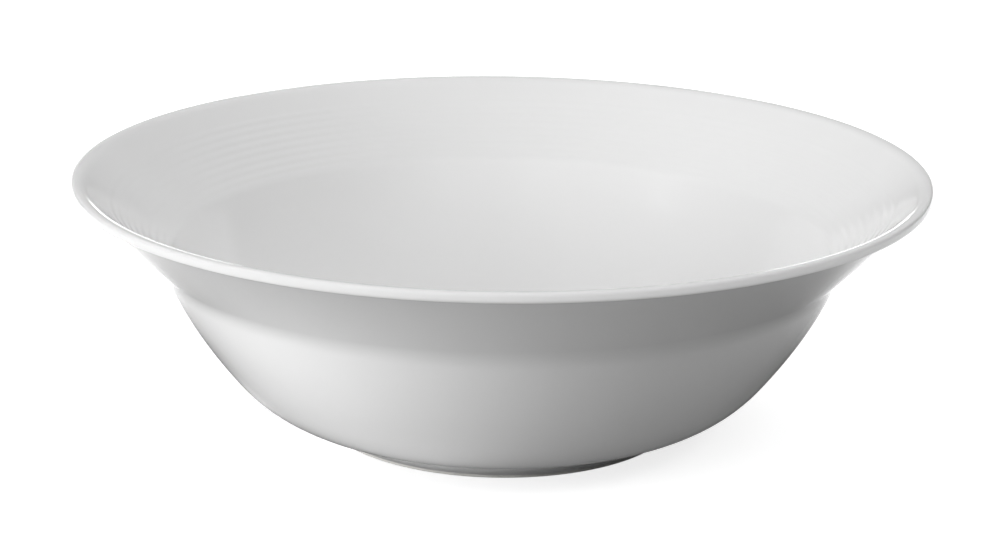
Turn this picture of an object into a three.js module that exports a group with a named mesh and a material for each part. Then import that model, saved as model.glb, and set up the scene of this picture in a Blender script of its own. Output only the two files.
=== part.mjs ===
// A round porcelain serving bowl in millimetres, +Z up, standing on z = 0 about the Z axis.
//
// It has a deep well, a flared rim with eight fine raised rings inside it, a small rounded lip
// and a low foot ring. The fired porcelain is one wall of even thickness. A thin coat of glaze
// covers it inside, over the lip and down the outside, and a second coat lines the recess
// inside the foot. The foot's bearing edge is left bare.
//
// Every outline below is a list of (radius, height) points on the finished, glazed surface.
// Porcelain and glaze are found by shifting that surface inwards.

import * as THREE from 'three';

// Overall size
const RIM_RADIUS = 130;
const HEIGHT = 80;

// Wall, glaze and the clearance that keeps neighbouring solids apart
const WALL = 4.3;
const GLAZE = 0.3;
const CLEARANCE = 0.3;

// Lip: a band with a rounded top that stands out a little over the rim's underside
const LIP_TOP_WIDTH = 3.4;
const LIP_DEPTH = 3.1;
const LIP_INNER_ROUND = 1.9;
const LIP_OUTER_ROUND = 1.2;
const LIP_LOWER_ROUND = 1.4;
const LIP_OVERHANG = 2.6;

// Rim: straight and sloping, from the shoulder outside and the well line inside
const SHOULDER = new THREE.Vector2(103.8, 53.4);
const SHOULDER_ROUND = 4.3;
const WELL_LINE = new THREE.Vector2(101, 57.3);

// Fine raised rings on the inside of the rim
const RING_COUNT = 8;
const RING_RELIEF = 0.08;
const FIRST_RING_RADIUS = 103.4;
const LAST_RING_RADIUS = 118.8;

// Belly: a tight turn above the foot, then a long easy curve up to the shoulder
const BELLY_TURN_PULL = new THREE.Vector2(73.4, 6.7);
const BELLY_MIDDLE = new THREE.Vector2(83.9, 19.7);
const BELLY_SIDE_PULL = new THREE.Vector2(98, 37.3);

// Foot ring
const FOOT_HEIGHT = 5.3;
const FOOT_TOP_RADIUS = 57;
const FOOT_RADIUS = 55.4;
const FOOT_WIDTH = 5.4;
const FOOT_ROUND = 0.9;
const BARE_EDGE = 1.2;
const EDGE_EASE = 0.5;
const UNDERSIDE_BEVEL = 1;

// Recess inside the foot, a little wider at its mouth than at its ceiling
const RECESS_DEPTH = FOOT_HEIGHT - GLAZE - CLEARANCE;
const RECESS_FLARE = 0.6;
const RECESS_ROUND = 1.2;

// Fineness of the curves
const SEGMENTS = 40;
const CURVE_STEPS = 4;
const ROUND_STEPS = 2;

const point = (radius, height) => new THREE.Vector2(radius, height);

// Unit vector from one point towards another.
function heading(from, to) {
  return to.clone().sub(from).normalize();
}

// A point on the straight line from one point to another, at a share of its length.
function between(from, to, share) {
  return from.clone().lerp(to, share);
}

// Shifts an open outline to the right of its direction, each stretch parallel to itself.
function shifted(outline, distance) {
  const last = outline.length - 1;
  return outline.map((here, index) => {
    const arriving = heading(outline[Math.max(index - 1, 0)], outline[Math.max(index, 1)]);
    const leaving = heading(outline[Math.min(index, last - 1)], outline[Math.min(index + 1, last)]);
    const along = arriving.clone().add(leaving).normalize();
    const rightward = point(along.y, -along.x);
    return here.clone().addScaledVector(rightward, distance / along.dot(arriving));
  });
}

// Rounds the corner between two straight stretches with an even curve.
function roundedCorner(before, corner, after, reach) {
  const start = corner.clone().addScaledVector(heading(corner, before), reach);
  const end = corner.clone().addScaledVector(heading(corner, after), reach);
  return new THREE.QuadraticBezierCurve(start, corner, end).getPoints(ROUND_STEPS);
}

// The belly from the foot up to the shoulder, in two curves that meet smoothly.
function bellyOutline() {
  const foot = point(FOOT_TOP_RADIUS, FOOT_HEIGHT);
  const turn = new THREE.QuadraticBezierCurve(foot, BELLY_TURN_PULL, BELLY_MIDDLE);
  const side = new THREE.QuadraticBezierCurve(BELLY_MIDDLE, BELLY_SIDE_PULL, SHOULDER);
  return [...turn.getPoints(CURVE_STEPS), ...side.getPoints(CURVE_STEPS).slice(1)];
}

// The well: a flat floor, then a side that follows the belly one wall thickness inside it.
function wellOutline() {
  const side = shifted(bellyOutline(), -WALL);
  return [point(0, side[0].y), ...side, WELL_LINE];
}

// Raised rings up the sloping inside of the rim, each rising from the level between two rings.
function ringOutline(rimTop) {
  const slope = heading(WELL_LINE, rimTop);
  const raised = point(-slope.y, slope.x).multiplyScalar(RING_RELIEF);
  const pitch = (LAST_RING_RADIUS - FIRST_RING_RADIUS) / (RING_COUNT - 1);
  const onSlope = (radius) =>
    WELL_LINE.clone().addScaledVector(slope, (radius - WELL_LINE.x) / slope.x);
  const rings = [onSlope(FIRST_RING_RADIUS - pitch / 2)];
  for (let ring = 0; ring < RING_COUNT; ring += 1) {
    const radius = FIRST_RING_RADIUS + ring * pitch;
    rings.push(onSlope(radius).add(raised), onSlope(radius + pitch / 2));
  }
  return rings;
}

// The lip from its inner side, over the top and down to the notch above the rim's underside.
function lipOutline() {
  const innerTop = point(RIM_RADIUS - LIP_TOP_WIDTH, HEIGHT);
  const outerTop = point(RIM_RADIUS, HEIGHT);
  const outerFoot = point(RIM_RADIUS, HEIGHT - LIP_DEPTH);
  const notch = point(RIM_RADIUS - LIP_OVERHANG, HEIGHT - LIP_DEPTH);
  return [
    ...roundedCorner(WELL_LINE, innerTop, outerTop, LIP_INNER_ROUND),
    ...roundedCorner(innerTop, outerTop, outerFoot, LIP_OUTER_ROUND),
    ...roundedCorner(outerTop, outerFoot, notch, LIP_LOWER_ROUND),
    notch,
  ];
}

// The outside from the rim's underside, round the shoulder and belly, to the foot junction.
function outsideOutline(notch) {
  const belly = bellyOutline().reverse();
  return [...roundedCorner(notch, belly[0], belly[1], SHOULDER_ROUND), ...belly.slice(1, -1)];
}

// The glazed outer side of the foot, from the junction under the belly to the bare edge.
function footSideOutline(bellyEnd) {
  const junction = point(FOOT_TOP_RADIUS, FOOT_HEIGHT);
  const bottom = point(FOOT_RADIUS, 0);
  const glazeEnd = between(bottom, junction, BARE_EDGE / FOOT_HEIGHT);
  return [...roundedCorner(bellyEnd, junction, bottom, FOOT_ROUND), glazeEnd];
}

// The recess inside the foot, from its centre out and down to the bare edge.
function recessOutline() {
  const radius = FOOT_RADIUS - FOOT_WIDTH;
  const centre = point(0, RECESS_DEPTH);
  const corner = point(radius, RECESS_DEPTH);
  const bottom = point(radius + RECESS_FLARE, 0);
  const glazeEnd = between(bottom, corner, BARE_EDGE / RECESS_DEPTH);
  return [centre, ...roundedCorner(centre, corner, bottom, RECESS_ROUND), glazeEnd];
}

// Turns a section about the bowl's axis. The section starts and ends on the axis or is closed.
function turned(name, section, material) {
  const mesh = new THREE.Mesh(new THREE.LatheGeometry(section, SEGMENTS), material);
  mesh.name = name;
  return mesh;
}

// The whole glazed surface in one outline, and how many of its points lie above the foot.
function glazedOutline() {
  const lip = lipOutline();
  const outside = outsideOutline(lip[lip.length - 1]);
  const aboveFoot = [...wellOutline(), ...ringOutline(lip[0]), ...lip, ...outside];
  const footSide = footSideOutline(outside[outside.length - 1]);
  return { glazed: [...aboveFoot, ...footSide], aboveFoot: aboveFoot.length };
}

const { glazed, aboveFoot } = glazedOutline();
const recess = recessOutline();

// Fired porcelain: floor, well, belly and rim, with a flat underside over the foot ring.
function porcelainBody(material) {
  const skin = shifted(glazed, GLAZE + CLEARANCE).slice(0, aboveFoot + 1);
  const edge = skin[aboveFoot].x - UNDERSIDE_BEVEL;
  const section = [point(0, FOOT_HEIGHT), point(edge, FOOT_HEIGHT), ...skin.reverse()];
  return turned('porcelain_body', section, material);
}

// Foot ring: tapered sides, a flat top under the body and a bare flat edge to stand on.
function footRing(material) {
  const top = FOOT_HEIGHT - CLEARANCE;
  const outer = shifted(glazed, GLAZE + CLEARANCE).slice(aboveFoot + ROUND_STEPS);
  const inner = shifted(recess, -GLAZE - CLEARANCE).slice(ROUND_STEPS + 1);
  const outerBottom = outer[1];
  const innerBottom = inner[1];
  const section = [
    point(innerBottom.x + EDGE_EASE, 0),
    point(outerBottom.x - EDGE_EASE, 0),
    point(outerBottom.x, EDGE_EASE),
    outerBottom,
    point(outer[0].x, top),
    point(inner[0].x, top),
    innerBottom,
    point(innerBottom.x, EDGE_EASE),
  ];
  return turned('foot_ring', [...section, section[0]], material);
}

// Glaze: one coat from the middle of the floor, up, over the lip and down to the foot.
function glazeCoat(material) {
  const back = shifted(glazed, GLAZE);
  return turned('glaze_coat', [...back, ...glazed.slice().reverse()], material);
}

// Glaze inside the foot: across the recess and down the foot's inner side.
function baseGlaze(material) {
  const back = shifted(recess, -GLAZE);
  return turned('base_glaze', [...recess, ...back.reverse()], material);
}

const porcelain = () => new THREE.MeshStandardMaterial({ color: 0xefede8, roughness: 0.6 });
const glaze = () => new THREE.MeshStandardMaterial({ color: 0xf6f6f4, roughness: 0.1 });

const bowl = new THREE.Group();
bowl.rotation.x = Math.PI / 2;
bowl.add(
  porcelainBody(porcelain()),
  footRing(porcelain()),
  glazeCoat(glaze()),
  baseGlaze(glaze()),
);

export default bowl;
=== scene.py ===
"""Porcelain serving bowl: a fired wall, a foot ring and two coats of glaze, on a pale table.

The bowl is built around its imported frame, in metres, +Z up, standing on z = 0 about the Z axis.
Every outline is a list of (radius, height) points on the finished, glazed surface. The glaze
and the porcelain under it are found by shifting that surface inwards.
"""

from math import cos, pi, sin, tau

import bpy
from bpy.props import (
    FloatProperty,
    FloatVectorProperty,
    IntProperty,
    PointerProperty,
)
from bpy.types import Operator, Panel, PropertyGroup
from mathutils import Matrix, Vector


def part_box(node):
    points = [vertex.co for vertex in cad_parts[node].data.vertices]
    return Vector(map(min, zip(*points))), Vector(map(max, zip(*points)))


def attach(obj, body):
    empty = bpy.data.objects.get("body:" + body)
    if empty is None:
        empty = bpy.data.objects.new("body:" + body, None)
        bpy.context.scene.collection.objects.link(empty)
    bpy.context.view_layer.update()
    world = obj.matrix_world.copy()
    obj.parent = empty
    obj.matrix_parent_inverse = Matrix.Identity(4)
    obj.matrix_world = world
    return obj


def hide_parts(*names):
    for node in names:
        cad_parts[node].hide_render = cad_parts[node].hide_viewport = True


bl_info = {
    "name": "Porcelain Serving Bowl",
    "version": (1, 0, 0),
    "blender": (4, 5, 0),
    "location": "3D View > Sidebar > Bowl",
    "description": "Builds a glazed porcelain serving bowl and its table around a packed frame",
    "category": "Add Mesh",
}

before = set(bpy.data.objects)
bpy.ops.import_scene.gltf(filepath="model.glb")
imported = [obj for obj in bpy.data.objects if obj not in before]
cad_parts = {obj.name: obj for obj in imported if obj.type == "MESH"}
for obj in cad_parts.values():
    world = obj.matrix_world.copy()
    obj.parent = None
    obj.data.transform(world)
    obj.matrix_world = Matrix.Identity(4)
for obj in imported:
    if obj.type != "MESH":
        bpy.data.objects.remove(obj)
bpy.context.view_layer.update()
BODY = "root"

MM = 0.001
GLAZE_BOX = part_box("glaze_coat")
FOOT_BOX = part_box("foot_ring")
RECESS_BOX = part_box("base_glaze")

# Gap that keeps the glaze, the wall and the foot apart
GAP = 0.3 * MM

# Belly: what its tight turn and its long side are pulled towards, and where the two meet
TURN_PULL = (73.4 * MM, 6.7 * MM)
BELLY_MIDDLE = (83.9 * MM, 19.7 * MM)
SIDE_PULL = (98 * MM, 37.3 * MM)
UNDERSIDE_BEVEL = 1 * MM

# Steps along each stretch of an outline
BELLY_STEPS = 16
FLOOR_STEPS = 12
RING_STEPS = 8
SLOPE_STEPS = 6
ROLL_STEPS = 10
NOTCH_STEPS = 6
SHOULDER_STEPS = 12
FLARE_STEPS = 8
RECESS_STEPS = 6

# Closer to the axis than this, a point is on it
ON_AXIS = 1e-7

# Noise is centred on one half; these are the levels that the finishes spread it between
NOISE_LOW = 0.3
NOISE_HIGH = 0.7

# Glaze: noise scales of its cloudiness, gloss and ripple, and its darkest cloud
CLOUD_SCALE = 14
GLOSS_SCALE = 60
RIPPLE_SCALE = 55
CLOUD_SHADE = 0.985
GLAZE_IOR = 1.5

# Bare porcelain: noise scales of its specks and grain, its darkest speck and its grain's height
SPECK_SCALE = 900
GRAIN_SCALE = 2600
SPECK_SHADE = 0.94
SPECK_ROUGHNESS = 0.08
GRAIN_STRENGTH = 0.25
GRAIN_HEIGHT = 0.1 * MM

# Table: its size, the depths of its three sheets under the foot, and its faint mottle
TABLE_RADIUS = 6
TABLE_MIDDLE = 0.6
TABLE_STEPS = 96
SEEN_DEPTH = 0.02 * MM
MIRRORED_DEPTH = 0.06 * MM
LIGHTING_DEPTH = 0.1 * MM
MOTTLE_SCALE = 40
MOTTLE_SHADE = 0.99
TABLE_ROUGHNESS = 0.9

# Dark screen: an upright arc round the camera's right
SCREEN_RADIUS = 1.0
SCREEN_HEIGHT = 0.6
SCREEN_FIRST = 1.42 * pi
SCREEN_LAST = 1.95 * pi
SCREEN_STEPS = 12
SCREEN_WHITE = 0.02

# Height on the axis that every light faces, and how much of a light's face is at full strength
LIGHT_AIM = 0.05
SOFT_FACE = 0.2
EVEN_FACE = 0.5
CRISP_FACE = 0.6


def length(name, description, default):
    """A length in metres that a user may change."""
    return FloatProperty(
        name=name, description=description, default=default, min=0, precision=5,
        subtype="DISTANCE", unit="LENGTH",
    )


def share(name, description, default):
    """A plain number from 0 to 1."""
    return FloatProperty(name=name, description=description, default=default, min=0, max=1)


def power(name, description, default):
    """A strength with no upper limit."""
    return FloatProperty(name=name, description=description, default=default, min=0)


def colour(name, description, default):
    """A colour without alpha."""
    return FloatVectorProperty(
        name=name, description=description, default=default, min=0, max=1, size=3,
        subtype="COLOR",
    )


# ---------------------------------------------------------------------------------------------
# What a user can change
# ---------------------------------------------------------------------------------------------

class BowlShape(PropertyGroup):
    """Sizes of the finished bowl."""

    rim_radius: length("Rim radius", "From the axis to the lip's outer face", GLAZE_BOX[1].x)
    height: length("Height", "From the table to the top of the lip", GLAZE_BOX[1].z)
    wall: length("Wall", "Thickness of the wall between its glazed faces", 4.3 * MM)
    glaze: length("Glaze", "Thickness of the glaze", 0.3 * MM)
    clearance: length("Clearance", "Gap that keeps the glaze and the porcelain apart", GAP)

    lip_top: length("Lip width", "Width of the lip's top, before its edges are rounded", 3.4 * MM)
    lip_depth: length("Lip depth", "Height of the lip's outer face", 3.1 * MM)
    lip_overhang: length("Lip overhang", "How far the lip stands out over the rim", 2.6 * MM)
    lip_inner_round: length("Lip inner round", "Reach of the roll into the rim", 1.9 * MM)
    lip_outer_round: length("Lip outer round", "Reach of the upper outer round", 1.2 * MM)
    lip_lower_round: length("Lip lower round", "Reach of the lower outer round", 1.4 * MM)
    notch_round: length("Notch round", "Reach of the soft corner under the lip", 0.6 * MM)

    shoulder_radius: length("Shoulder radius", "Where rim and belly meet outside", 103.8 * MM)
    shoulder_height: length("Shoulder height", "Height of that corner", 53.4 * MM)
    shoulder_round: length("Shoulder round", "Reach of its soft round", 4.3 * MM)
    well_radius: length("Well radius", "Where rim and well meet inside", 101 * MM)
    well_height: length("Well height", "Height of that corner", 57.3 * MM)
    well_round: length("Well round", "Reach of its soft round", 1.3 * MM)

    ring_count: IntProperty(name="Rings", description="Raised rings in the rim", default=8, min=0)
    ring_relief: length("Ring relief", "Height of a ring over the level beside it", 0.08 * MM)
    first_ring: length("First ring", "Radius of the innermost ring", 103.4 * MM)
    last_ring: length("Last ring", "Radius of the outermost ring", 118.8 * MM)

    foot_height: length("Foot height", "From the table to the belly", FOOT_BOX[1].z + GAP)
    foot_top_radius: length("Foot top radius", "Where the foot meets the belly", 57 * MM)
    foot_radius: length("Foot radius", "Radius of the foot at the table", 55.4 * MM)
    foot_width: length("Foot width", "Thickness of the foot ring", 5.4 * MM)
    foot_round: length("Foot round", "Reach of the fillet under the belly", 0.9 * MM)
    bare_edge: length("Bare edge", "Height of the unglazed edge", RECESS_BOX[0].z)
    edge_ease: length("Edge ease", "Rounding of the bare edge", 0.5 * MM)
    recess_flare: length("Recess flare", "How much wider the recess is at its mouth", 0.6 * MM)
    recess_round: length("Recess round", "Reach of the round at its ceiling", 1.2 * MM)

    segments: IntProperty(name="Segments", description="Steps round the bowl", default=192, min=24)


class BowlFinish(PropertyGroup):
    """Colours and finishes."""

    glaze_colour: colour("Glaze", "White of the glazed porcelain", (0.88, 0.88, 0.88))
    glaze_roughness: share("Glaze roughness", "How blurred its reflections are", 0.05)
    glaze_unevenness: share("Glaze unevenness", "How much the gloss varies", 0.03)
    glaze_ripple: share("Glaze ripple", "Strength of the faint ripple in the glaze", 0.04)
    bisque_colour: colour("Porcelain", "Bare fired porcelain", (0.80, 0.79, 0.76))
    bisque_roughness: share("Porcelain roughness", "Roughness of bare porcelain", 0.6)


class BowlStage(PropertyGroup):
    """Table, lights and camera."""

    table_glow: share("Table glow", "Light that comes up through the table", 0.78)
    table_white: share("Table white", "How much of the room's light the table shows", 0.5)
    table_bounce: share("Table bounce", "How much light the table gives back to the bowl", 0.4)
    table_lift: power("Table lift", "Glow of the table as the bowl sees it", 0)
    # The table in reflections is painted: a glowing sheet, dim under the bowl as a painted shadow,
    # white further out.
    painted_shadow_radius: length("Shade radius", "How far out the table is dim in reflections", 0.10)
    white_radius: length("White radius", "Where the table is white in reflections", 0.20)
    painted_shadow_shine: power("Shade shine", "Brightness of its dim part in reflections", 0.12)
    white_shine: power("White shine", "Brightness of its white part in reflections", 1.5)
    sky: power("Room light", "Brightness of the room around", 0.113)
    front_left: power("Front left", "Watts from the low softbox in front, to the left", 17)
    front_high: power("Front high", "Watts from the softbox over the camera", 11.3)
    front_right: power("Front right", "Watts from the high softbox in front, to the right", 16.6)
    back_high: power("Back high", "Watts from the high softbox behind", 18.5)
    over_left: power("Over left", "Watts from the wide softbox overhead, to the left", 1.5)
    table_card: power("Table card", "Watts from the low reflector on the left", 0.5)
    left_middle: power("Left middle", "Watts from the softbox half way up on the left", 5.1)
    foot_card: power("Foot card", "Watts from the tiny card beside the foot, on the left", 0.02)
    near_card: power("Near card", "Watts from the tiny card before the foot", 0.004)
    left_card: power("Left card", "Watts from the small card on the table, to the left", 0.04)
    front_card: power("Front card", "Watts from the small card on the table in front", 0.017)
    lip_gleam: power("Lip gleam", "Watts of the small softbox that the lip mirrors", 0.25)
    well_gleam: power("Well gleam", "Watts of the narrow softbox that the well mirrors", 0.3)
    backdrop: power("Backdrop", "Watts of the wide screen behind, seen only in reflections", 1.3)
    end_gleam: power("End gleam", "Watts of each small softbox behind, for the rim's ends", 0.12)
    camera_back: length("Camera distance", "Level distance to the bowl's axis", 0.7396)
    camera_height: length("Camera height", "Height over the table", 0.2704)
    camera_aim: length("Camera aim", "Height on the axis that it looks at", 0.0465)
    camera_side: FloatProperty(name="Camera aside", description="Aim beside the axis",
                               default=-0.0004, subtype="DISTANCE", unit="LENGTH")
    camera_roll: FloatProperty(name="Camera roll", description="Turn about the line of sight",
                               default=0.0116, subtype="ANGLE", unit="ROTATION")
    camera_lens: FloatProperty(name="Lens", description="Focal length in mm", default=90)


# ---------------------------------------------------------------------------------------------
# Outlines
# ---------------------------------------------------------------------------------------------

def at(radius, height):
    """A point of an outline."""
    return Vector((radius, height))


def curve(start, pull, end, steps):
    """A smooth curve that leaves start and reaches end heading towards pull."""
    shares = [step / steps for step in range(steps + 1)]
    return [(1 - t) ** 2 * start + 2 * t * (1 - t) * pull + t * t * end for t in shares]


def straight(start, end, steps):
    """Evenly spaced points on a straight line, both ends included."""
    return [start.lerp(end, step / steps) for step in range(steps + 1)]


def rounded(before, corner, after, reach, steps=8):
    """A soft corner between two straight stretches."""
    start = corner + (before - corner).normalized() * reach
    end = corner + (after - corner).normalized() * reach
    return curve(start, corner, end, steps)


def shifted(outline, distance):
    """Shifts an open outline to the right of its direction, each stretch parallel to itself."""
    moved = []
    last = len(outline) - 1
    for index, here in enumerate(outline):
        arriving = (outline[max(index, 1)] - outline[max(index - 1, 0)]).normalized()
        leaving = (outline[min(index + 1, last)] - outline[min(index, last - 1)]).normalized()
        along = (arriving + leaving).normalized()
        rightward = at(along.y, -along.x)
        moved.append(here + rightward * (distance / along.dot(arriving)))
    return moved


def belly_outline(shape):
    """Outside, from the foot up to the shoulder: a tight turn, then a long easy curve."""
    foot = at(shape.foot_top_radius, shape.foot_height)
    middle = at(*BELLY_MIDDLE)
    shoulder = at(shape.shoulder_radius, shape.shoulder_height)
    turn = curve(foot, at(*TURN_PULL), middle, BELLY_STEPS)
    side = curve(middle, at(*SIDE_PULL), shoulder, BELLY_STEPS)
    return turn + side[1:]


def well_outline(shape, rim_top):
    """Inside, from the middle of the floor up to the well line."""
    side = shifted(belly_outline(shape), -shape.wall)
    middle = at(0, side[0].y)
    line = at(shape.well_radius, shape.well_height)
    floor = straight(middle, side[0], FLOOR_STEPS)
    return floor[:-1] + side[:-1] + rounded(side[-2], line, rim_top, shape.well_round)


def ring_outline(shape, rim_top):
    """Up the sloping inside of the rim: soft raised rings with the plain slope above them."""
    line = at(shape.well_radius, shape.well_height)
    slope = (rim_top - line).normalized()
    outward = at(-slope.y, slope.x)
    pitch = (shape.last_ring - shape.first_ring) / (shape.ring_count - 1)
    points = []
    for index in range(shape.ring_count * RING_STEPS + 1):
        turns = index / RING_STEPS
        radius = shape.first_ring + pitch * (turns - 1 / 2)
        rise = shape.ring_relief * (1 - cos(tau * turns)) / 2
        points.append(line + slope * ((radius - line.x) / slope.x) + outward * rise)
    return points + straight(points[-1], rim_top, SLOPE_STEPS)[1:-1]


def lip_outline(shape):
    """Over the lip, from its inner side to the notch above the rim's underside."""
    top, bottom = shape.height, shape.height - shape.lip_depth
    line = at(shape.well_radius, shape.well_height)
    shoulder = at(shape.shoulder_radius, shape.shoulder_height)
    inner_top = at(shape.rim_radius - shape.lip_top, top)
    outer_top = at(shape.rim_radius, top)
    outer_foot = at(shape.rim_radius, bottom)
    notch = at(shape.rim_radius - shape.lip_overhang, bottom)
    return (
        rounded(line, inner_top, outer_top, shape.lip_inner_round, ROLL_STEPS)
        + rounded(inner_top, outer_top, outer_foot, shape.lip_outer_round)
        + rounded(outer_top, outer_foot, notch, shape.lip_lower_round)
        + rounded(outer_foot, notch, shoulder, shape.notch_round, NOTCH_STEPS)
    )


def outside_outline(shape, notch):
    """From the rim's underside, round the shoulder and belly, to the foot."""
    belly = belly_outline(shape)[::-1]
    shoulder = rounded(notch, belly[0], belly[2], shape.shoulder_round, SHOULDER_STEPS)
    flare = straight(notch, shoulder[0], FLARE_STEPS)
    return flare[1:-1] + shoulder + belly[3:-1]


def foot_outline(shape, belly_end):
    """The glazed outer side of the foot, down to the bare edge."""
    junction = at(shape.foot_top_radius, shape.foot_height)
    bottom = at(shape.foot_radius, 0)
    end = bottom.lerp(junction, shape.bare_edge / shape.foot_height)
    return rounded(belly_end, junction, bottom, shape.foot_round) + [end]


def glazed_outline(shape):
    """The whole of the main coat's surface, and how many of its points lie above the foot."""
    lip = lip_outline(shape)
    well = well_outline(shape, lip[0])
    outside = outside_outline(shape, lip[-1])
    above = well + ring_outline(shape, lip[0]) + lip + outside
    return above + foot_outline(shape, outside[-1]), len(above)


def recess_outline(shape):
    """The recess inside the foot, from its centre out and down to the bare edge."""
    ceiling = RECESS_BOX[1].z - shape.glaze
    radius = shape.foot_radius - shape.foot_width
    corner = at(radius, ceiling)
    bottom = at(radius + shape.recess_flare, 0)
    end = bottom.lerp(corner, shape.bare_edge / ceiling)
    round_corner = rounded(at(0, ceiling), corner, bottom, shape.recess_round)
    flat = straight(at(0, ceiling), round_corner[0], RECESS_STEPS)
    return flat[:-1] + round_corner + [end]


# ---------------------------------------------------------------------------------------------
# Meshes
# ---------------------------------------------------------------------------------------------

def turned(name, section, segments, closed=False):
    """Turns a section about the bowl's axis into a closed smooth mesh."""
    rows, points, faces = [], [], []
    for radius, height in section:
        if radius < ON_AXIS:
            rows.append([len(points)] * segments)
            points.append((0, 0, height))
            continue
        rows.append([len(points) + step for step in range(segments)])
        for step in range(segments):
            angle = tau * step / segments
            points.append((radius * cos(angle), radius * sin(angle), height))
    pairs = list(zip(rows, rows[1:])) + ([(rows[-1], rows[0])] if closed else [])
    for lower, upper in pairs:
        for step in range(segments):
            after = (step + 1) % segments
            corners = [lower[step], lower[after], upper[after], upper[step]]
            faces.append(list(dict.fromkeys(corners)))
    mesh = bpy.data.meshes.new(name)
    mesh.from_pydata(points, [], faces)
    mesh.validate()
    mesh.shade_smooth()
    piece = bpy.data.objects.new(name, mesh)
    bpy.context.scene.collection.objects.link(piece)
    return piece


def dress(piece, material, node):
    """Gives a piece its finish, and puts it in place of its plain solid."""
    piece.data.materials.append(material)
    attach(piece, BODY)
    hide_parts(node)


# ---------------------------------------------------------------------------------------------
# Finishes
# ---------------------------------------------------------------------------------------------

def new_material(name):
    """A material with one shader, and its lists of nodes and links."""
    material = bpy.data.materials.new(name)
    material.use_nodes = True
    nodes, links = material.node_tree.nodes, material.node_tree.links
    nodes.clear()
    shader = nodes.new("ShaderNodeBsdfPrincipled")
    output = nodes.new("ShaderNodeOutputMaterial")
    links.new(shader.outputs["BSDF"], output.inputs["Surface"])
    return material, shader, nodes, links


def noise(nodes, links, scale, detail):
    """A solid noise that is fixed to the piece."""
    place = nodes.new("ShaderNodeTexCoord")
    texture = nodes.new("ShaderNodeTexNoise")
    texture.inputs["Scale"].default_value = scale
    texture.inputs["Detail"].default_value = detail
    links.new(place.outputs["Object"], texture.inputs["Vector"])
    return texture.outputs["Fac"]


def graded(nodes, links, value, low, high):
    """Spreads a noise between two colours."""
    ramp = nodes.new("ShaderNodeValToRGB")
    ramp.color_ramp.elements[0].position = NOISE_LOW
    ramp.color_ramp.elements[1].position = NOISE_HIGH
    ramp.color_ramp.elements[0].color = (*low, 1)
    ramp.color_ramp.elements[1].color = (*high, 1)
    links.new(value, ramp.inputs["Fac"])
    return ramp.outputs["Color"]


def ranged(nodes, links, value, low, high):
    """Spreads a noise between two numbers."""
    spread = nodes.new("ShaderNodeMapRange")
    spread.inputs["From Min"].default_value = NOISE_LOW
    spread.inputs["From Max"].default_value = NOISE_HIGH
    spread.inputs["To Min"].default_value = low
    spread.inputs["To Max"].default_value = high
    links.new(value, spread.inputs["Value"])
    return spread.outputs["Result"]


def bumped(nodes, links, value, strength, distance):
    """A bump from a height."""
    bump = nodes.new("ShaderNodeBump")
    bump.inputs["Strength"].default_value = strength
    bump.inputs["Distance"].default_value = distance
    links.new(value, bump.inputs["Height"])
    return bump.outputs["Normal"]


def glaze_material(finish):
    """Clear gloss glaze over white porcelain, with a faint ripple and cloudiness."""
    material, shader, nodes, links = new_material("porcelain_glaze")
    white = Vector(finish.glaze_colour)
    cloud = noise(nodes, links, CLOUD_SCALE, detail=3)
    tint = graded(nodes, links, cloud, white * CLOUD_SHADE, white)
    links.new(tint, shader.inputs["Base Color"])
    low = finish.glaze_roughness
    gloss = noise(nodes, links, GLOSS_SCALE, detail=4)
    rough = ranged(nodes, links, gloss, low, low + finish.glaze_unevenness)
    links.new(rough, shader.inputs["Roughness"])
    ripple = noise(nodes, links, RIPPLE_SCALE, detail=2)
    relief = bumped(nodes, links, ripple, finish.glaze_ripple, MM)
    links.new(relief, shader.inputs["Normal"])
    shader.inputs["IOR"].default_value = GLAZE_IOR
    return material


def bisque_material(finish):
    """Bare fired porcelain: fine, matt and very slightly warm."""
    material, shader, nodes, links = new_material("bare_porcelain")
    white = Vector(finish.bisque_colour)
    speck = noise(nodes, links, SPECK_SCALE, detail=4)
    tint = graded(nodes, links, speck, white * SPECK_SHADE, white)
    links.new(tint, shader.inputs["Base Color"])
    low = finish.bisque_roughness - SPECK_ROUGHNESS
    high = finish.bisque_roughness + SPECK_ROUGHNESS
    links.new(ranged(nodes, links, speck, low, high), shader.inputs["Roughness"])
    grain = noise(nodes, links, GRAIN_SCALE, detail=3)
    relief = bumped(nodes, links, grain, GRAIN_STRENGTH, GRAIN_HEIGHT)
    links.new(relief, shader.inputs["Normal"])
    return material


def table_material(name, white, glow):
    """A pale matt table top that may also glow, with a very faint mottle."""
    material, shader, nodes, links = new_material(name)
    pale = Vector((white, white, white))
    mottle = noise(nodes, links, MOTTLE_SCALE, detail=2)
    tint = graded(nodes, links, mottle, pale * MOTTLE_SHADE, pale)
    links.new(tint, shader.inputs["Base Color"])
    shader.inputs["Roughness"].default_value = TABLE_ROUGHNESS
    shader.inputs["Specular IOR Level"].default_value = 0
    shader.inputs["Emission Color"].default_value = (1, 1, 1, 1)
    shader.inputs["Emission Strength"].default_value = glow
    return material


def shared(name, make, settings):
    """A material by name, made the first time that it is asked for."""
    return bpy.data.materials.get(name) or make(settings)


# ---------------------------------------------------------------------------------------------
# Operators
# ---------------------------------------------------------------------------------------------

class BOWL_OT_wall(Operator):
    """Makes the fired porcelain wall under the glaze"""

    bl_idname = "bowl.wall"
    bl_label = "Porcelain wall"

    def execute(self, context):
        shape, finish = context.scene.bowl_shape, context.scene.bowl_finish
        outline, above_foot = glazed_outline(shape)
        skin = shifted(outline, shape.glaze + shape.clearance)[:above_foot + 1]
        edge = at(skin[-1].x - UNDERSIDE_BEVEL, shape.foot_height)
        section = skin + [edge, at(0, shape.foot_height)]
        piece = turned("fired_wall", section[::-1], shape.segments)
        material = shared("bare_porcelain", bisque_material, finish)
        dress(piece, material, "porcelain_body")
        return {"FINISHED"}


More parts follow.
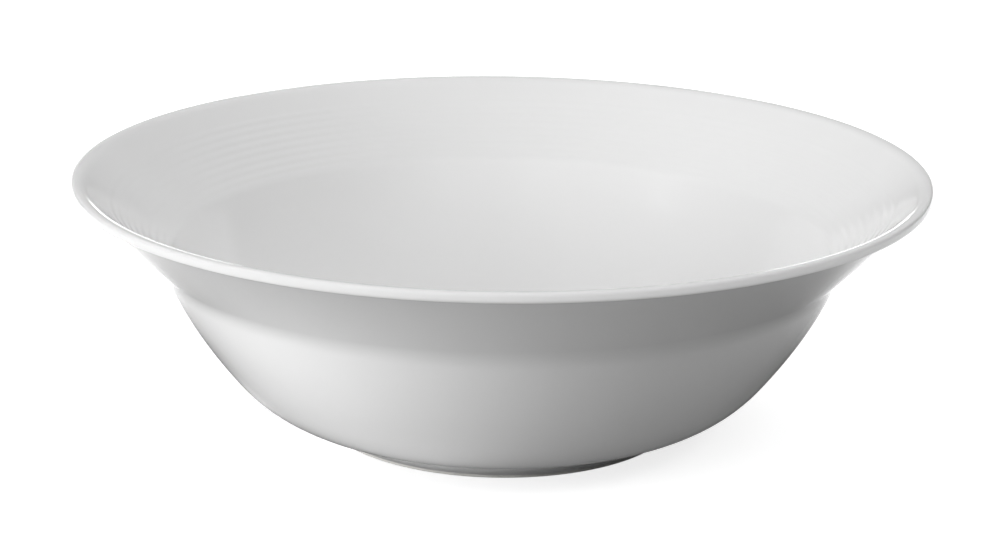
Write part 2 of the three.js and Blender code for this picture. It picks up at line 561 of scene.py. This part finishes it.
class BOWL_OT_foot(Operator):
    """Makes the foot ring with its bare bearing edge"""

    bl_idname = "bowl.foot"
    bl_label = "Foot ring"

    def execute(self, context):
        shape, finish = context.scene.bowl_shape, context.scene.bowl_finish
        depth = shape.glaze + shape.clearance
        top = shape.foot_height - shape.clearance
        outline, _ = glazed_outline(shape)
        outer = shifted(outline, depth)[-2:]
        inner = shifted(recess_outline(shape), -depth)[-2:]
        ease = shape.edge_ease
        outer_corner, inner_corner = at(outer[1].x, 0), at(inner[1].x, 0)
        section = (
            rounded(inner[1], inner_corner, outer_corner, ease)
            + rounded(inner_corner, outer_corner, outer[1], ease)
            + [outer[1], at(outer[0].x, top), at(inner[0].x, top), inner[1]]
        )
        piece = turned("standing_foot", section, shape.segments, closed=True)
        material = shared("bare_porcelain", bisque_material, finish)
        dress(piece, material, "foot_ring")
        return {"FINISHED"}


class BOWL_OT_glaze(Operator):
    """Makes the main coat of glaze and the coat inside the foot"""

    bl_idname = "bowl.glaze"
    bl_label = "Glaze"

    def execute(self, context):
        shape, finish = context.scene.bowl_shape, context.scene.bowl_finish
        material = shared("porcelain_glaze", glaze_material, finish)
        outline, _ = glazed_outline(shape)
        main = shifted(outline, shape.glaze) + outline[::-1]
        dress(turned("main_glaze", main, shape.segments), material, "glaze_coat")
        recess = recess_outline(shape)
        lining = recess + shifted(recess, -shape.glaze)[::-1]
        dress(turned("recess_glaze", lining, shape.segments), material, "base_glaze")
        return {"FINISHED"}


def faded(nodes, links, value, solid):
    """Full strength in the middle of a 0 to 1 range, easing off to nothing at both ends."""
    middle = nodes.new("ShaderNodeMath")
    middle.operation = "SUBTRACT"
    middle.inputs[1].default_value = 0.5
    links.new(value, middle.inputs[0])
    aside = nodes.new("ShaderNodeMath")
    aside.operation = "ABSOLUTE"
    links.new(middle.outputs["Value"], aside.inputs[0])
    fade = nodes.new("ShaderNodeMapRange")
    fade.interpolation_type = "SMOOTHSTEP"
    fade.inputs["From Min"].default_value = solid / 2
    fade.inputs["From Max"].default_value = 0.5
    fade.inputs["To Min"].default_value = 1
    fade.inputs["To Max"].default_value = 0
    links.new(aside.outputs["Value"], fade.inputs["Value"])
    return fade.outputs["Result"]


def soften(data, solid):
    """Makes a light fade towards its edges, as a softbox does."""
    data.use_nodes = True
    nodes, links = data.node_tree.nodes, data.node_tree.links
    emission = next(node for node in nodes if node.type == "EMISSION")
    place = nodes.new("ShaderNodeNewGeometry")
    axes = nodes.new("ShaderNodeSeparateXYZ")
    links.new(place.outputs["Parametric"], axes.inputs["Vector"])
    both = nodes.new("ShaderNodeMath")
    both.operation = "MULTIPLY"
    links.new(faded(nodes, links, axes.outputs["X"], solid), both.inputs[0])
    links.new(faded(nodes, links, axes.outputs["Y"], solid), both.inputs[1])
    links.new(both.outputs["Value"], emission.inputs["Strength"])


def area_light(name, place, size, watts, mirrored, solid=SOFT_FACE):
    """A softbox that faces the bowl. It is seen only in reflections, or not even there."""
    data = bpy.data.lights.new(name, "AREA")
    data.shape = "RECTANGLE"
    data.size, data.size_y = size
    data.energy = watts
    soften(data, solid)
    light = bpy.data.objects.new(name, data)
    light.location = place
    towards = Vector((0, 0, LIGHT_AIM)) - Vector(place)
    light.rotation_euler = towards.to_track_quat("-Z", "Y").to_euler()
    light.visible_camera = False
    light.visible_glossy = mirrored
    bpy.context.scene.collection.objects.link(light)
    return light


def table_sheet(name, depth, material):
    """A wide round sheet, just under the foot."""
    radii = (TABLE_RADIUS, TABLE_MIDDLE, 0)
    piece = turned(name, [at(radius, -depth) for radius in radii], TABLE_STEPS)
    piece.data.materials.append(material)
    return piece


def painted_reflection_material(stage):
    """What the glaze mirrors of the table, painted as a glowing sheet: dim under the bowl as a
    painted shadow, white further out as painted light.
    """
    material, shader, nodes, links = new_material("table_shine")
    shader.inputs["Base Color"].default_value = (0, 0, 0, 1)
    shader.inputs["Specular IOR Level"].default_value = 0
    shader.inputs["Emission Color"].default_value = (1, 1, 1, 1)
    place = nodes.new("ShaderNodeTexCoord")
    away = nodes.new("ShaderNodeVectorMath")
    away.operation = "LENGTH"
    links.new(place.outputs["Object"], away.inputs[0])
    # Painted shadow: the sheet's glow is dim near the axis, under the bowl, and white further out.
    spread = nodes.new("ShaderNodeMapRange")
    spread.interpolation_type = "SMOOTHSTEP"
    spread.inputs["From Min"].default_value = stage.painted_shadow_radius
    spread.inputs["From Max"].default_value = stage.white_radius
    spread.inputs["To Min"].default_value = stage.painted_shadow_shine
    spread.inputs["To Max"].default_value = stage.white_shine
    links.new(away.outputs["Value"], spread.inputs["Value"])
    links.new(spread.outputs["Result"], shader.inputs["Emission Strength"])
    return material


def table(stage):
    """A table in three sheets: one to look at, one for reflections that glows with a painted shadow
    under the bowl, and one that gives back light.
    """
    white = table_material("white_table", stage.table_white, stage.table_glow)
    seen = table_sheet("table_top", SEEN_DEPTH, white)
    seen.visible_diffuse = seen.visible_glossy = seen.visible_shadow = False
    # Seen only in reflections: a glowing sheet with a painted shadow under the bowl.
    mirrored = table_sheet("table_shine", MIRRORED_DEPTH, painted_reflection_material(stage))
    mirrored.visible_camera = mirrored.visible_diffuse = mirrored.visible_shadow = False
    grey = table_material("grey_table", stage.table_bounce, stage.table_lift)
    lighting = table_sheet("table_base", LIGHTING_DEPTH, grey)
    lighting.visible_camera = lighting.visible_glossy = False


def dark_screen():
    """A dark screen round the camera's side, which keeps the bowl's front and right in shade."""
    points, faces = [], []
    for step in range(SCREEN_STEPS + 1):
        angle = SCREEN_FIRST + (SCREEN_LAST - SCREEN_FIRST) * step / SCREEN_STEPS
        across, along = SCREEN_RADIUS * cos(angle), SCREEN_RADIUS * sin(angle)
        points += [(across, along, 0), (across, along, SCREEN_HEIGHT)]
    for step in range(SCREEN_STEPS):
        faces.append([2 * step, 2 * step + 2, 2 * step + 3, 2 * step + 1])
    mesh = bpy.data.meshes.new("dark_screen")
    mesh.from_pydata(points, [], faces)
    piece = bpy.data.objects.new("dark_screen", mesh)
    piece.data.materials.append(table_material("dark_cloth", SCREEN_WHITE, 0))
    piece.visible_camera = False
    bpy.context.scene.collection.objects.link(piece)


def room_light(stage):
    """Even light from all round."""
    world = bpy.data.worlds.new("room")
    world.use_nodes = True
    background = world.node_tree.nodes["Background"]
    background.inputs["Color"].default_value = (1, 1, 1, 1)
    background.inputs["Strength"].default_value = stage.sky
    bpy.context.scene.world = world


def unmirrored_lights(stage):
    """Softboxes all round and cards on the table. They light the bowl but don't show in it."""
    places = (
        ("front_left", (-1.0, -0.55, 0.27), (1.6, 0.52)),
        ("front_high", (-0.4, -0.9, 0.9), (1.0, 0.8)),
        ("front_right", (0.75, -0.6, 1.0), (1.0, 0.8)),
        ("back_high", (0, 0.9, 0.8), (1.6, 0.9)),
        ("left_middle", (-1.0, -0.5, 0.6), (0.8, 0.6)),
        ("table_card", (-0.7, -0.35, 0.03), (0.5, 0.1)),
        ("foot_card", (-0.075, -0.035, 0.001), (0.04, 0.05)),
        ("near_card", (-0.03, -0.075, 0.001), (0.08, 0.03)),
        ("left_card", (-0.09, -0.10, 0.001), (0.1, 0.1)),
        ("front_card", (-0.04, -0.14, 0.004), (0.12, 0.04)),
    )
    for name, place, size in places:
        area_light(name, place, size, getattr(stage, name), mirrored=False)


def mirrored_lights(stage):
    """Lights that show in the glaze: a wide one overhead, small ones, and a screen behind."""
    places = (
        ("over_left", (-0.6, -0.1, 1.15), (1.5, 1.8), stage.over_left, SOFT_FACE),
        ("lip_gleam", (-1.0, -0.36, 0.65), (0.35, 0.2), stage.lip_gleam, SOFT_FACE),
        ("well_gleam", (0.45, -1.0, 0.8), (0.3, 0.8), stage.well_gleam, SOFT_FACE),
        ("left_gleam", (-0.2, 1.2, 0.155), (0.07, 0.13), stage.end_gleam, CRISP_FACE),
        ("right_gleam", (0.2, 1.2, 0.155), (0.07, 0.13), stage.end_gleam, CRISP_FACE),
    )
    for name, place, size, watts, solid in places:
        area_light(name, place, size, watts, mirrored=True, solid=solid)
    backdrop = area_light(
        "backdrop", (0, 1.3, 0.35), (2.4, 0.8), stage.backdrop, mirrored=True, solid=EVEN_FACE,
    )
    backdrop.visible_diffuse = False


def camera(stage):
    """A long lens, looking a little down at the bowl."""
    data = bpy.data.cameras.new("camera")
    data.lens = stage.camera_lens
    piece = bpy.data.objects.new("camera", data)
    place = Vector((0, -stage.camera_back, stage.camera_height))
    aim = Vector((stage.camera_side, 0, stage.camera_aim))
    turn = (aim - place).to_track_quat("-Z", "Y").to_matrix().to_4x4()
    roll = Matrix.Rotation(stage.camera_roll, 4, "Z")
    piece.matrix_world = Matrix.Translation(place) @ turn @ roll
    bpy.context.scene.collection.objects.link(piece)
    bpy.context.scene.camera = piece


class BOWL_OT_stage(Operator):
    """Makes the table, the soft lights and the camera"""

    bl_idname = "bowl.stage"
    bl_label = "Table, lights and camera"

    def execute(self, context):
        stage = context.scene.bowl_stage
        table(stage)
        dark_screen()
        room_light(stage)
        unmirrored_lights(stage)
        mirrored_lights(stage)
        camera(stage)
        context.scene.view_settings.view_transform = "Standard"
        return {"FINISHED"}


class BOWL_PT_sidebar(Panel):
    """Lists the bowl's operators and settings"""

    bl_idname = "BOWL_PT_sidebar"
    bl_label = "Porcelain Bowl"
    bl_space_type = "VIEW_3D"
    bl_region_type = "UI"
    bl_category = "Bowl"

    def draw(self, context):
        for operator in OPERATORS:
            self.layout.operator(operator.bl_idname)
        for setting in GROUPS:
            group = getattr(context.scene, setting)
            box = self.layout.box()
            for name in group.bl_rna.properties.keys():
                if name not in ("rna_type", "name"):
                    box.prop(group, name)


GROUPS = {"bowl_shape": BowlShape, "bowl_finish": BowlFinish, "bowl_stage": BowlStage}
OPERATORS = (BOWL_OT_stage, BOWL_OT_wall, BOWL_OT_foot, BOWL_OT_glaze)


def register():
    """Registers the settings, operators and panel."""
    for name, group in GROUPS.items():
        bpy.utils.register_class(group)
        setattr(bpy.types.Scene, name, PointerProperty(type=group))
    for kind in (*OPERATORS, BOWL_PT_sidebar):
        bpy.utils.register_class(kind)


def unregister():
    """Takes everything out again."""
    for kind in (BOWL_PT_sidebar, *reversed(OPERATORS)):
        bpy.utils.unregister_class(kind)
    for name, group in reversed(GROUPS.items()):
        delattr(bpy.types.Scene, name)
        bpy.utils.unregister_class(group)


def main():
    """Builds the stage and the bowl."""
    register()
    bpy.ops.bowl.stage()
    bpy.ops.bowl.wall()
    bpy.ops.bowl.foot()
    bpy.ops.bowl.glaze()
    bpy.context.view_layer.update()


if __name__ == "__main__":
    main()
